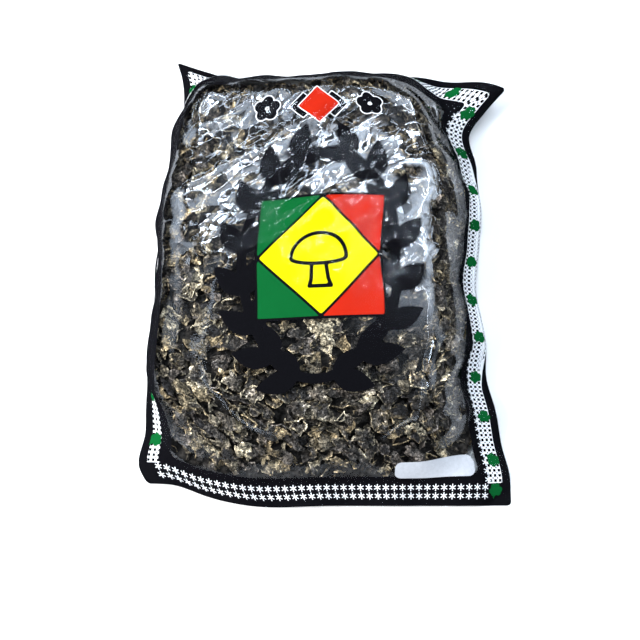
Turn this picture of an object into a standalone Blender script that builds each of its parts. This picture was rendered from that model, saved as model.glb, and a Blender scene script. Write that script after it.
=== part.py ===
"""A sealed clear film bag packed with dried wood ear mushrooms, lying on its back. Metres, +Z up, the
bag's top towards +Y.

The bag is two flat panels of film, sealed to each other all round and then filled. A point of a panel is
named by where it was on the flat sheet: u across and v along, in metres from the panel's middle. A Panel
works out where that point lies on the filled bag: it rises by a height that is given, and because film
doesn't stretch, it runs in sideways by what it rises. That pulls the sides in and leaves the corners
standing out as ears.
"""

import math

import bpy
import numpy as np

# The bag's flat panels and its film
PANEL_WIDTH = 0.350
PANEL_LENGTH = 0.450
FILM = 0.0005
SEAL_GAP = 0.0003

# Where the filling reaches on the flat panel. It lies nearer the left side and the top, so that a flat
# margin of film is left at the right and at the bottom.
FILL_LEFT = -0.172
FILL_RIGHT = 0.155
FILL_BOTTOM = -0.203
FILL_TOP = 0.219
LEFT_CORNER = 0.045
RIGHT_CORNER = 0.070

# Heights of the filled bag. The film bends over from the seal in a quarter circle, up to the broad crown
# and down to the table. It rises more gently at the bottom end, over the length of FOOT_RADIUS, and towards
# the right side, where that length grows to RIGHT_RADIUS.
SEAL_HEIGHT = 0.016
FRONT_RADIUS = 0.039
FOOT_RADIUS = 0.065
RIGHT_RADIUS = 0.062
RIGHT_START = 0.05
CROWN = 0.022
STEEPEST = 0.97

# The margin droops away from the filling, and the ears at the top stand up: (side, end): height. The outer
# strip of the right margin is folded down on top of that, from one place along the bag to another.
DROOP = 0.35
EARS = {(-1, 1): 0.018, (1, 1): 0.018}
EAR_REACH = 0.055
FOLD_WIDTH = 0.0100
FOLD_SLOPE = 0.60
FOLD_ENDS = (-0.112, 0.155)
FOLD_FADE = 0.045

# Where the four sealed edges lie in plan: how far out an edge lies at places along the flat panel. The
# right edge flares at both ends, the left side leans in towards the top, and the bottom left corner is
# tucked in.
LEFT_EDGE = [(-0.225, -0.158), (-0.208, -0.1663), (-0.175, -0.1597), (-0.140, -0.1586), (-0.105, -0.160)]
LEFT_EDGE += [(-0.070, -0.156), (0.0, -0.1518), (0.050, -0.148), (0.095, -0.1442), (0.145, -0.135)]
LEFT_EDGE += [(0.178, -0.1262), (0.200, -0.1259), (0.225, -0.1322)]
RIGHT_EDGE = [(-0.225, 0.170), (-0.195, 0.1701), (-0.165, 0.1641), (-0.135, 0.160), (-0.100, 0.1556)]
RIGHT_EDGE += [(-0.060, 0.1565), (-0.030, 0.1551), (0.0, 0.1514), (0.050, 0.1586), (0.100, 0.1623)]
RIGHT_EDGE += [(0.140, 0.1607), (0.180, 0.156), (0.203, 0.1735), (0.225, 0.1951)]
BOTTOM_EDGE = [(-0.175, -0.176), (-0.150, -0.178), (-0.120, -0.189), (-0.080, -0.198)]
BOTTOM_EDGE += [(0.0, -0.2005), (0.175, -0.2055)]
TOP_EDGE = [(-0.175, 0.234), (-0.150, 0.221), (-0.110, 0.213), (0.080, 0.213)]
TOP_EDGE += [(0.130, 0.206), (0.175, 0.196)]

# The outer share of a panel that is moved as one piece to meet the edges
FLAT_SHARE = 0.14

# Waves along the seal, and the broad creases of the slack film
WAVE_HEIGHT = 0.0035
WAVE_LENGTH = 0.074
WAVE_REACH = 0.032
CREASE_HEIGHT = 0.0035
CREASE_SPACING = 0.048

# The mushrooms that lie against the front film: a layer of them, each in a cell of its own
COLUMNS = 6
ROWS = 8
LAYER_INSET = 0.027
SMALLEST_RADIUS = 0.0130
LARGEST_RADIUS = 0.0170
PLACE_JITTER = 0.0015
MUSHROOM_THICKNESS = 0.0018
LAYER_DEPTH = 0.0062
CURL = 0.0021
LOBE = 0.10
TAN_SHARE = 0.6

# The packed mass under them
BULK_INSET = 0.018
BULK_DEPTH = 0.0108
BULK_EDGE_DEPTH = 0.0040
BULK_BACK_DEPTH = 0.0026
BULK_BACK_EDGE_DEPTH = 0.0060
BULK_LUMP = 0.0014
BULK_ROUNDING = 0.12

# Places worked out along each panel, and the faces of the meshes made from them
TABLE_ACROSS = 141
TABLE_ALONG = 185
FILM_ACROSS = 22
FILM_ALONG = 28
BULK_ACROSS = 16
BULK_ALONG = 20
MUSHROOM_RINGS = 2
MUSHROOM_SPOKES = 8

SEED = 11

MATERIALS = {
    # name: (colour, roughness, alpha)
    "clear_film": ((0.85, 0.87, 0.90), 0.08, 0.25),
    "dried_mushroom_tan": ((0.33, 0.28, 0.20), 0.85, 1.0),
    "dried_mushroom_dark": ((0.06, 0.055, 0.055), 0.60, 1.0),
}


def clear_scene():
    for obj in list(bpy.data.objects):
        bpy.data.objects.remove(obj)


def make_materials():
    made = {}
    for name, (colour, roughness, alpha) in MATERIALS.items():
        material = bpy.data.materials.new(name)
        material.use_nodes = True
        shader = material.node_tree.nodes["Principled BSDF"]
        shader.inputs["Base Color"].default_value = (*colour, 1.0)
        shader.inputs["Roughness"].default_value = roughness
        shader.inputs["Metallic"].default_value = 0.0
        shader.inputs["Alpha"].default_value = alpha
        made[name] = material
    return made


def corner_radius(u):
    return np.interp(u, [FILL_LEFT, FILL_RIGHT], [LEFT_CORNER, RIGHT_CORNER])


def inside_fill(u, v, bottom=FILL_BOTTOM):
    """How far a point of the flat panel lies inside the filling's rounded outline, below 0 outside it."""
    middle_u, half_u = (FILL_RIGHT + FILL_LEFT) / 2, (FILL_RIGHT - FILL_LEFT) / 2
    middle_v, half_v = (FILL_TOP + bottom) / 2, (FILL_TOP - bottom) / 2
    corner = corner_radius(u)
    over_u = np.abs(u - middle_u) - (half_u - corner)
    over_v = np.abs(v - middle_v) - (half_v - corner)
    beyond = np.hypot(np.maximum(over_u, 0), np.maximum(over_v, 0))
    return corner - beyond - np.minimum(np.maximum(over_u, over_v), 0)


def quarter_turn(distance, radius):
    """The rise of a film that starts upright and bends over in a quarter circle, at a distance along it."""
    return radius * np.sin(np.clip(distance / radius, 0, math.pi / 2))


def foot_line(u):
    """The filling's outline at the bottom end: straight, and round at both corners."""
    corner = corner_radius(u)
    from_side = np.clip(np.minimum(u - FILL_LEFT, FILL_RIGHT - u), 0, corner)
    return FILL_BOTTOM + corner - np.sqrt(corner**2 - (corner - from_side) ** 2)


def front_share(u, v):
    """How far the front film has risen beside its seals, from 0 to 1."""
    radius = np.interp(u, [RIGHT_START, FILL_RIGHT], [FRONT_RADIUS, RIGHT_RADIUS])
    beside = quarter_turn(inside_fill(u, v, FILL_BOTTOM - PANEL_LENGTH), radius) / radius
    return beside * quarter_turn(v - foot_line(u), FOOT_RADIUS) / FOOT_RADIUS


def folded(phase):
    """A wave of straight slopes between sharp folds, from 0 to 1."""
    return 2 * np.abs(phase - np.floor(phase + 0.5))


def creases(u, v):
    """Broad flat facets with sharp folds between them, from 0 to 1, where slack film has buckled."""
    bent_u = u + 0.012 * np.sin(v / 0.041) + 0.006 * np.sin(v / 0.017 + 1.3)
    bent_v = v + 0.014 * np.sin(u / 0.037 + 0.7) + 0.005 * np.sin(u / 0.015)
    across = folded(bent_u / CREASE_SPACING + 0.2)
    along = folded((0.45 * bent_u + 0.9 * bent_v) / CREASE_SPACING)
    slant = folded((0.7 * bent_u - 0.7 * bent_v) / (1.6 * CREASE_SPACING) + 0.4)
    return (across + along + slant) / 3


def fold_share(v):
    """How far the right margin's outer strip is folded down at places along the bag, from 0 to 1."""
    middle, half = (FOLD_ENDS[0] + FOLD_ENDS[1]) / 2, (FOLD_ENDS[1] - FOLD_ENDS[0]) / 2
    return np.clip((half - np.abs(v - middle)) / FOLD_FADE, 0, 1)


def seal_height(u, v):
    height = SEAL_HEIGHT - DROOP * np.maximum(-inside_fill(u, v), 0)
    height -= FOLD_SLOPE * np.maximum(u - PANEL_WIDTH / 2 + FOLD_WIDTH, 0) * fold_share(v)
    for (side, end), lift in EARS.items():
        away = np.hypot(u - side * PANEL_WIDTH / 2, v - end * PANEL_LENGTH / 2)
        height += lift * np.exp(-((away / EAR_REACH) ** 2))
    return height


def seal_waves(u, v):
    """The ripple of the film's edges, which are longer than the sides that the filling pulls in."""
    near_side = np.exp(-(PANEL_WIDTH / 2 - np.abs(u)) / WAVE_REACH)
    near_end = np.exp(-(PANEL_LENGTH / 2 - np.abs(v)) / WAVE_REACH)
    side_wave = np.sin(2 * math.pi * v / WAVE_LENGTH + np.where(u > 0, 0.6, 2.1))
    end_wave = np.sin(2 * math.pi * u / WAVE_LENGTH + np.where(v > 0, 1.0, 2.9))
    return WAVE_HEIGHT * (near_side * side_wave + near_end * end_wave)


def edge_height(u, v, detail):
    """The height halfway between the two panels, where they are sealed together."""
    waves = seal_waves(u, v) if detail else 0
    return np.maximum(seal_height(u, v) + waves, FILM + SEAL_GAP / 2)


def front_height(u, v, detail=True):
    middle_u, half_u = (FILL_RIGHT + FILL_LEFT) / 2, (FILL_RIGHT - FILL_LEFT) / 2
    middle_v, half_v = (FILL_TOP + FILL_BOTTOM) / 2, (FILL_TOP - FILL_BOTTOM) / 2
    across = np.clip(1 - ((u - middle_u) / half_u) ** 2, 0, 1)
    along = np.clip(1 - ((v - middle_v) / half_v) ** 2, 0, 1)
    share = front_share(u, v)
    slack = CREASE_HEIGHT * creases(u, v) * share if detail else 0
    flank = FRONT_RADIUS * share
    return edge_height(u, v, detail) + SEAL_GAP / 2 + flank + CROWN * across * along + slack


def back_height(u, v, detail=True):
    edge = edge_height(u, v, detail) - SEAL_GAP / 2
    return np.maximum(edge - quarter_turn(inside_fill(u, v), 2 * SEAL_HEIGHT), FILM)


def run_in(height, places, axis):
    """Where a sheet's points come to lie along one direction, if it keeps its length as it rises."""
    step = places[1] - places[0]
    slope = np.gradient(height, step, axis=axis)
    reach = step * np.sqrt(1 - np.minimum(np.abs(slope), STEEPEST) ** 2)
    reach = (reach + np.roll(reach, 1, axis)) / 2
    run = np.cumsum(reach, axis)
    return run - np.take(run, [len(places) // 2], axis)


def smooth(points, at):
    """A smooth curve through a few (place, value) points, read at places."""
    place, value = np.array(points).T
    slope = np.gradient(value, place)
    k = np.clip(np.searchsorted(place, at, side="right") - 1, 0, len(place) - 2)
    length = place[k + 1] - place[k]
    t = (at - place[k]) / length
    rise = value[k + 1] - value[k]
    first, last = slope[k] * length - rise, rise - slope[k + 1] * length
    return value[k] + t * rise + t * (1 - t) * ((1 - t) * first + t * last)


def between_edges(own, low, high, places, axis):
    """own, with its two edges along axis moved to low and high, and the rest of it between them."""
    share = (places - places[0]) / (places[-1] - places[0])
    share = np.clip((share - FLAT_SHARE) / (1 - 2 * FLAT_SHARE), 0, 1)
    share = np.expand_dims(share, 1 - axis)
    first, last = np.take(own, [0], axis), np.take(own, [-1], axis)
    low, high = np.expand_dims(low, axis), np.expand_dims(high, axis)
    return own + (low - first) * (1 - share) + (high - last) * share


class Panel:
    """One film panel on the filled bag: its inner face, as a table of places that is read by u and v."""

    def __init__(self, height):
        self.u = np.linspace(-PANEL_WIDTH / 2, PANEL_WIDTH / 2, TABLE_ACROSS)
        self.v = np.linspace(-PANEL_LENGTH / 2, PANEL_LENGTH / 2, TABLE_ALONG)
        u, v = np.meshgrid(self.u, self.v, indexing="ij")
        broad = height(u, v, detail=False)
        left, right = smooth(LEFT_EDGE, self.v), smooth(RIGHT_EDGE, self.v)
        bottom, top = smooth(BOTTOM_EDGE, self.u), smooth(TOP_EDGE, self.u)
        x = between_edges(run_in(broad, self.u, 0), left, right, self.u, 0)
        y = between_edges(run_in(broad, self.v, 1), bottom, top, self.v, 1)
        self.places = np.stack([x, y, height(u, v)], -1)

    def at(self, u, v):
        """The places of the points (u, v), read between the nearest four of the table."""
        row = (np.asarray(u) - self.u[0]) / (self.u[1] - self.u[0])
        column = (np.asarray(v) - self.v[0]) / (self.v[1] - self.v[0])
        i = np.clip(np.floor(row).astype(int), 0, len(self.u) - 2)
        j = np.clip(np.floor(column).astype(int), 0, len(self.v) - 2)
        a, b = (row - i)[..., None], (column - j)[..., None]
        near = (1 - b) * self.places[i, j] + b * self.places[i, j + 1]
        far = (1 - b) * self.places[i + 1, j] + b * self.places[i + 1, j + 1]
        return (1 - a) * near + a * far

    def normal(self, u, v, step=0.003):
        """The upward normals at the points (u, v)."""
        along_u = self.at(u + step, v) - self.at(u - step, v)
        along_v = self.at(u, v + step) - self.at(u, v - step)
        n = np.cross(along_u, along_v)
        return n / np.linalg.norm(n, axis=-1, keepdims=True)

    def under(self, u, v, depth):
        """The places that lie a depth below the panel, along its normals."""
        return self.at(u, v) - self.normal(u, v) * np.asarray(depth)[..., None]


def centre_panels(front, back):
    """Moves both panels so that the bag's box is centred on the origin."""
    for axis in (0, 1):
        both = np.concatenate([front.places[..., axis].ravel(), back.places[..., axis].ravel()])
        middle = (both.min() + both.max()) / 2
        front.places[..., axis] -= middle
        back.places[..., axis] -= middle


def eased(count, reach, tightness=0.55):
    """count + 1 places from -reach to reach, closer together at both ends, where the film bends most."""
    even = np.linspace(-1, 1, count + 1)
    return reach * ((1 - tightness) * even + tightness * np.sin(even * math.pi / 2))


def grid_faces(across, along, flip=False, first=0):
    """A grid's quads, its points numbered along v first. Either way up, they split along the same line."""
    faces = []
    for i in range(across):
        for j in range(along):
            a = first + i * (along + 1) + j
            b, c, d = a + along + 1, a + along + 2, a + 1
            faces.append((a, d, c, b) if flip else (a, b, c, d))
    return faces


def make_object(name, points, faces, material):
    mesh = bpy.data.meshes.new(name)
    mesh.from_pydata([tuple(map(float, p)) for p in points], [], faces)
    mesh.materials.append(material)
    mesh.shade_smooth()
    obj = bpy.data.objects.new(name, mesh)
    bpy.context.scene.collection.objects.link(obj)
    return obj


def make_film(name, panel, faces_down, material):
    """A panel of film: a sheet through the panel's places, thickened outwards."""
    u = eased(FILM_ACROSS, PANEL_WIDTH / 2)
    v = eased(FILM_ALONG, PANEL_LENGTH / 2)
    points = panel.at(*np.meshgrid(u, v, indexing="ij")).reshape(-1, 3)
    film = make_object(name, points, grid_faces(FILM_ACROSS, FILM_ALONG, faces_down), material)
    skin = film.modifiers.new("film_thickness", "SOLIDIFY")
    skin.thickness = FILM
    skin.offset = 1.0
    return film


def layer_cells(rng):
    """The middle and radius of each mushroom of the layer, (u, v, radius), in rows half a cell off."""
    left, right = FILL_LEFT + LAYER_INSET, FILL_RIGHT - LAYER_INSET
    bottom, top = FILL_BOTTOM + LAYER_INSET, FILL_TOP - LAYER_INSET
    cell_u, cell_v = (right - left) / (COLUMNS + 0.5), (top - bottom) / ROWS
    for row in range(ROWS):
        for column in range(COLUMNS):
            u = left + (column + 0.5 + 0.5 * (row % 2)) * cell_u + rng.uniform(-1, 1) * PLACE_JITTER
            v = bottom + (row + 0.5) * cell_v + rng.uniform(-1, 1) * PLACE_JITTER
            yield u, v, rng.uniform(SMALLEST_RADIUS, LARGEST_RADIUS)


def make_mushroom(name, front, u, v, radius, rng, material):
    """A dried wood ear: a thin lobed disc with a wavy, curled rim, lying along the film above it."""
    lobes, waves = int(rng.integers(2, 5)), int(rng.integers(3, 5))
    turn, roll = rng.uniform(0, 2 * math.pi, 2)
    spokes = np.arange(MUSHROOM_SPOKES) * 2 * math.pi / MUSHROOM_SPOKES
    offsets, depths = [(0.0, 0.0)], [LAYER_DEPTH + 0.4 * CURL]
    for ring in range(1, MUSHROOM_RINGS + 1):
        share = ring / MUSHROOM_RINGS
        for angle in spokes:
            reach = radius * share * (1 + LOBE * math.sin(lobes * angle + turn))
            offsets.append((reach * math.cos(angle), reach * math.sin(angle)))
            depths.append(LAYER_DEPTH + CURL * share**2 * math.sin(waves * angle + roll))
    offsets, depths = np.array(offsets), np.array(depths)
    at_u, at_v = u + offsets[:, 0], v + offsets[:, 1]
    upper = front.under(at_u, at_v, depths - MUSHROOM_THICKNESS / 2)
    lower = front.under(at_u, at_v, depths + MUSHROOM_THICKNESS / 2)
    faces = disc_faces(0, False) + disc_faces(len(upper), True)
    rim = 1 + (MUSHROOM_RINGS - 1) * MUSHROOM_SPOKES
    for k in range(MUSHROOM_SPOKES):
        a, b = rim + k, rim + (k + 1) % MUSHROOM_SPOKES
        faces.append((a, len(upper) + a, len(upper) + b, b))
    return make_object(name, np.concatenate([upper, lower]), faces, material)


def disc_faces(first, flip):
    """A fan round a middle point, and quads between the rings round it."""
    faces = []
    for k in range(MUSHROOM_SPOKES):
        after = (k + 1) % MUSHROOM_SPOKES
        faces.append((first, first + 1 + k, first + 1 + after))
        for ring in range(1, MUSHROOM_RINGS):
            inner, outer = first + 1 + (ring - 1) * MUSHROOM_SPOKES, first + 1 + ring * MUSHROOM_SPOKES
            faces.append((inner + k, outer + k, outer + after, inner + after))
    return [f[::-1] for f in faces] if flip else faces


def make_bulk(front, back, rng, material):
    """The packed mass: a lumpy cushion that fills the bag from the back film up to the mushroom layer."""
    across, along = np.linspace(-1, 1, BULK_ACROSS + 1), np.linspace(-1, 1, BULK_ALONG + 1)
    p, q = np.meshgrid(across, along, indexing="ij")
    half_u = (FILL_RIGHT - FILL_LEFT) / 2 - BULK_INSET
    half_v = (FILL_TOP - FILL_BOTTOM) / 2 - BULK_INSET
    u = (FILL_RIGHT + FILL_LEFT) / 2 + half_u * p * (1 - BULK_ROUNDING * q**4)
    v = (FILL_TOP + FILL_BOTTOM) / 2 + half_v * q * (1 - BULK_ROUNDING * p**4)
    inner = np.clip((inside_fill(u, v) - BULK_INSET) / (LAYER_INSET - BULK_INSET), 0, 1)
    depth = BULK_EDGE_DEPTH + (BULK_DEPTH - BULK_EDGE_DEPTH) * inner
    height = BULK_BACK_EDGE_DEPTH + (BULK_BACK_DEPTH - BULK_BACK_EDGE_DEPTH) * inner
    upper = front.under(u, v, depth + BULK_LUMP * rng.uniform(0, 1, u.shape))
    lower = back.under(u, v, -height - BULK_LUMP * inner * rng.uniform(0, 1, u.shape))
    count = upper.shape[0] * upper.shape[1]
    faces = grid_faces(BULK_ACROSS, BULK_ALONG) + grid_faces(BULK_ACROSS, BULK_ALONG, True, count)
    for a, b in edge_loop(BULK_ACROSS, BULK_ALONG):
        faces.append((a, count + a, count + b, b))
    points = np.concatenate([upper.reshape(-1, 3), lower.reshape(-1, 3)])
    return make_object("mushroom_bulk", points, faces, material)


def edge_loop(across, along):
    """The outer edges of a grid, as pairs of points, anticlockwise from above."""
    row = along + 1
    corner_to_corner = [i * row for i in range(across + 1)]
    corner_to_corner += [across * row + j for j in range(1, along + 1)]
    corner_to_corner += [i * row + along for i in range(across - 1, -1, -1)]
    corner_to_corner += [j for j in range(along - 1, -1, -1)]
    return list(zip(corner_to_corner[:-1], corner_to_corner[1:]))


def main():
    clear_scene()
    materials = make_materials()
    rng = np.random.default_rng(SEED)
    front = Panel(front_height)
    back = Panel(back_height)
    centre_panels(front, back)
    make_film("film_front", front, False, materials["clear_film"])
    make_film("film_back", back, True, materials["clear_film"])
    for number, (u, v, radius) in enumerate(layer_cells(rng), 1):
        tan = rng.random() < TAN_SHARE
        skin = materials["dried_mushroom_tan" if tan else "dried_mushroom_dark"]
        make_mushroom(f"mushroom_{number:02d}", front, u, v, radius, rng, skin)
    make_bulk(front, back, rng, materials["dried_mushroom_dark"])


main()
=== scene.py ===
"""The looks of a sealed, printed clear film bag that is packed with dried wood ear mushrooms.

The film is worked out as the CAD model does it: a point of a panel is named by where it was on the flat
sheet, u across and v along, in metres from the panel's middle. Everything that lies on or under the film is
placed by u, v and a height above or a depth below it.
"""

import math

import bpy
import numpy as np
from mathutils import Matrix, Vector


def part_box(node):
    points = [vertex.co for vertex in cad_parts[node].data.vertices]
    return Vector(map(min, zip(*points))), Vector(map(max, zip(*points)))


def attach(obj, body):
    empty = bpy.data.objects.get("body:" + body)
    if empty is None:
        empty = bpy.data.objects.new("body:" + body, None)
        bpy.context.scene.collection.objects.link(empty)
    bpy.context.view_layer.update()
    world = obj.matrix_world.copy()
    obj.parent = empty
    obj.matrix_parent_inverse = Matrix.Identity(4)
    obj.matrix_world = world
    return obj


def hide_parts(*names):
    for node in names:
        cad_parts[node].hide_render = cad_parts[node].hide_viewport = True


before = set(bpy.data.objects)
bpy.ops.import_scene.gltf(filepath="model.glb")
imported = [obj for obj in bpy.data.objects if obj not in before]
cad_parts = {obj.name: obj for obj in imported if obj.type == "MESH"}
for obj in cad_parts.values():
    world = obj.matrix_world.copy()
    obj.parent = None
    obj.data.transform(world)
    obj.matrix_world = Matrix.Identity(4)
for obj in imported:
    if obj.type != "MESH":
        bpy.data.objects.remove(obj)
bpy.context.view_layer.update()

# ---------------------------------------------------------------- sizes, in metres

# The filled bag, as in the CAD model
PANEL_WIDTH = 0.350
PANEL_LENGTH = 0.450
HALF_WIDTH, HALF_LENGTH = PANEL_WIDTH / 2, PANEL_LENGTH / 2
SEAL_GAP = 0.0003
FILL_LEFT = -0.172
FILL_RIGHT = 0.155
FILL_BOTTOM = -0.203
FILL_TOP = 0.219
FILL_MIDDLE = ((FILL_RIGHT + FILL_LEFT) / 2, (FILL_TOP + FILL_BOTTOM) / 2)
FILL_HALF = ((FILL_RIGHT - FILL_LEFT) / 2, (FILL_TOP - FILL_BOTTOM) / 2)
LEFT_CORNER = 0.045
RIGHT_CORNER = 0.070
SEAL_HEIGHT = 0.016
FRONT_RADIUS = 0.039
FOOT_RADIUS = 0.065
RIGHT_RADIUS = 0.062
RIGHT_START = 0.05
CROWN = 0.022
STEEPEST = 0.97
DROOP = 0.35
RAISED_CORNERS = {(-1, 1): 0.018, (1, 1): 0.018}
RAISED_REACH = 0.055
FOLD_WIDTH = 0.0100
FOLD_SLOPE = 0.60
FOLD_ENDS = (-0.112, 0.155)
FOLD_FADE = 0.045
LEFT_EDGE = [(-0.225, -0.158), (-0.208, -0.1663), (-0.175, -0.1597), (-0.140, -0.1586), (-0.105, -0.160)]
LEFT_EDGE += [(-0.070, -0.156), (0.0, -0.1518), (0.050, -0.148), (0.095, -0.1442), (0.145, -0.135)]
LEFT_EDGE += [(0.178, -0.1262), (0.200, -0.1259), (0.225, -0.1322)]
RIGHT_EDGE = [(-0.225, 0.170), (-0.195, 0.1701), (-0.165, 0.1641), (-0.135, 0.160), (-0.100, 0.1556)]
RIGHT_EDGE += [(-0.060, 0.1565), (-0.030, 0.1551), (0.0, 0.1514), (0.050, 0.1586), (0.100, 0.1623)]
RIGHT_EDGE += [(0.140, 0.1607), (0.180, 0.156), (0.203, 0.1735), (0.225, 0.1951)]
BOTTOM_EDGE = [(-0.175, -0.176), (-0.150, -0.178), (-0.120, -0.189), (-0.080, -0.198)]
BOTTOM_EDGE += [(0.0, -0.2005), (0.175, -0.2055)]
TOP_EDGE = [(-0.175, 0.234), (-0.150, 0.221), (-0.110, 0.213), (0.080, 0.213)]
TOP_EDGE += [(0.130, 0.206), (0.175, 0.196)]
FLAT_SHARE = 0.14
WAVE_HEIGHT = 0.0035
WAVE_LENGTH = 0.074
WAVE_REACH = 0.032

# The film: its grid before it is refined, how high it lies above the ground at least, how far outside the
# CAD model's surface it lies, and how wide its seals are. Then how it creases: the height and the width of
# its broad folds, its fine folds, its ripples and its folds where it is taut, how far it may lie above and
# below the filled shape (at the seals, and how much more over the filling), and how sharp a bend counts
CELLS_ACROSS = 134
CELLS_ALONG = 172
FILM_LIFT = 0.0004
FILM_OUT = 0.0003
SEAL_WIDTH = 0.006
RELAX_ROUNDS = 12
LEAST_SLACK = 0.002
MOST_SLACK = 0.010
CORNER_SLACK = 0.05
BACK_SLACK = 0.2
BROAD_FOLDS = (0.0064, 0.046)
FINE_FOLDS = (0.0024, 0.023)
RIPPLES = (0.0007, 0.034)
FOLD_DROP = 0.0014
TAUT_FOLDS = (0.0004, 0.026)
MOST_ABOVE = (0.0010, 0.0056)
MOST_BELOW = (0.0002, 0.0008)
CREASE_BEND = (0.00005, 0.00019)

# The print, in layers a hair apart under the film: the border's lines, each (distance from the right side and
# the top, from the left side, from the bottom), then the panel, the wreath with its leaves (turn, length,
# width), the top row's lozenges (name, ink, place along the row, half its diagonal, layer) and flowers, and
# the label (left, right, bottom, top)
PRINT_STEP = 0.00008
PRINT_LAYERS = 5
BORDER = [(0.0010, 0.0010, 0.0010), (0.0090, 0.0095, 0.0095)]
BORDER += [(0.0220, 0.0200, 0.0215), (0.0320, 0.0315, 0.0310)]
DRAWN_IN = (0.0110, 0.0130, 0.0190)
BAND_AT_FOLD = 0.0070
BAND_MIDDLE = 0.0155
CHECK_STEP = 0.0046
GREY_CHECK = 0.0014
BLACK_CHECK = 0.0026
STAR_STEP = 0.0078
STAR_BAR = (0.0066, 0.0008)
CLOVER_STEP = 0.042
CLOVER_FIRST = 0.0
CLOVER_SIZE = 0.0130
PANEL_MIDDLE = (0.000, 0.0023)
PANEL_SIZE = (0.0988, 0.1025)
PANEL_LINE = 0.0022
MOTIF_LINE = 0.0032
WREATH = (0.062, 0.099)
WREATH_MIDDLE = (0.000, -0.001)
WREATH_STEM = 0.0080
WREATH_LEAVES = ((-0.60, 0.036, 0.0180), (0.46, 0.033, 0.0160))
TOP_MOTIFS = (-0.003, 0.142)
LOZENGES = [("top_left", "black", -0.014, 0.013, 2), ("top_right", "black", 0.014, 0.013, 2)]
LOZENGES += [("top", "red", 0.0, 0.019, 4)]
LOZENGE_RIM = 0.0008
FLOWERS_AWAY = 0.048
PETAL_AWAY = 0.0070
PETAL_RADIUS = 0.0052
FLOWER_RIM = 0.0009
LABEL = (0.063, 0.140, -0.1965, -0.1770)

INKS = {
    "black": (0.0035, 0.0035, 0.0045),
    "white": (0.80, 0.82, 0.85),
    "label": (0.47, 0.49, 0.53),
    "grey": (0.13, 0.13, 0.15),
    "green": (0.003, 0.078, 0.018),
    "red": (0.38, 0.016, 0.006),
    "yellow": (0.55, 0.545, 0.003),
}

# The layers of ears under the first one: (name, film, spacing, (rings, spokes, tilt), least and most depth,
# least and most radius). Then the first one's shape and depth, how wide and how high an ear's crumples are,
# how thick it is, its tints, how strongly and from what depth its dips and bumps paint light and shade on it,
# and the imported mass behind them all
EAR_LAYERS = [
    ("top_ears", "front", 0.0150, (6, 16, 0.70), (0.0006, 0.0030), (0.0050, 0.0102)),
    ("second_ears", "front", 0.0185, (5, 14, 0.70), (0.0028, 0.0060), (0.0065, 0.0120)),
    ("third_ears", "front", 0.0215, (4, 12, 0.50), (0.0050, 0.0085), (0.0090, 0.0140)),
    ("back_ears", "back", 0.0235, (4, 11, 0.20), (0.0010, 0.0025), (0.0100, 0.0160)),
]
WOOD_EAR_SHAPE = (8, 24, 0.22)
WOOD_EAR_DEPTH = (0.0012, 0.0030)
EAR_CRUMPLES = ((0.0090, 0.0062), (0.0046, 0.0034))
EAR_HALF_THICKNESS = (0.00028, 0.00045)
RIM_SHARPNESS = 8
RIM_TINT = 1.15
# PAINTED_RELIEF_SHADE: how strongly an ear's dips and bumps paint light and shade into its tint;
# HOLLOW_DEPTH: how deep a dip is at full strength
PAINTED_RELIEF_SHADE = 0.80
HOLLOW_DEPTH = 0.00045
TAN_RANGE = (0.5, 1.35)
DARK_RANGE = (0.7, 1.3)
UNDERSIDE_TAN = 0.6
DEEPEST_SHARE = 0.85
SHARP_FOLD = 24.0
MASS_GRID = (71, 91)
MASS_INSET = 0.004
MASS_CRUMPLES = (0.012, 0.004, 0.003)
MASS_DEPTH = 0.0100
MASS_BACK_DEPTH = 0.0030

# What the film mirrors: the room's brightness at the horizon and overhead, the glows and lamps in it
# (azimuth, elevation, angle out to the edge, angle over which it is even, radiance) and its long lamps (the
# direction they run across, half their width, radiance). Then the tubes on the ceiling (place, width, length,
# power) and the key light, which the film doesn't mirror
HORIZON = 0.12
OVERHEAD = 0.015
SKY_TINT = (0.78, 0.88, 1.0)
SKY_LIGHTS = [
    (90, 62, 34, 0, 0.3), (86, 69, 12, 1, 3.2), (60, 57, 10, 1, 3.0), (118, 58, 10, 1, 3.0),
    (92, 47, 9, 1, 2.6), (20, 52, 13, 2, 4.5), (158, 50, 12, 2, 3.4), (156, 35, 13, 2, 2.5),
    (0, 40, 11, 2, 4.5), (340, 60, 11, 2, 3.6), (34, 63, 20, 2, 3.2), (72, 76, 2.5, 1, 45),
    (106, 72, 2.5, 1, 45), (40, 62, 2.5, 1, 45), (140, 64, 2.5, 1, 45), (350, 52, 2.5, 1, 35),
    (84, 58, 2.5, 1, 45), (98, 52, 2.5, 1, 45), (60, 50, 2.5, 1, 45), (125, 52, 2.5, 1, 45),
]
SKY_BANDS = [
    ((0.0, -0.42, 0.91), 0.014, 9.0), ((0.10, -0.64, 0.77), 0.012, 12.0), ((-0.08, -0.82, 0.57), 0.012, 9.0),
    ((0.93, 0.05, 0.36), 0.016, 7.0), ((-0.90, 0.10, 0.42), 0.016, 6.0),
]
TUBES = {
    "tube_near": ((0.0, 0.66, 1.8), 1.4, 0.03, 2.6),
    "tube_far": ((0.1, 1.25, 1.8), 1.4, 0.03, 2.6),
    "tube_side": ((0.75, 0.5, 1.6), 0.03, 1.2, 2.2),
}
TUBE_TINT = (0.93, 0.96, 1.0)
KEY_PLACE = (-1.55, -0.15, 1.2)
KEY_SIZE = 0.5
KEY_POWER = 84.0
FLOOR_SIZE = 4.0

# How much of the light the clear film throws back, how much more of it along a crease, and its share of that
# where ink backs the film, where it is taut and where it is steep: how level it is from its flanks to its top
FILM_GLOSS = 0.120
CREASE_GLOSS = 3.0
INKED_GLOSS = 0.070
TAUT_GLOSS = 0.20
FLANK_GLOSS = 0.25
FLANK_LEVELS = (0.40, 0.85)

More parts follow.
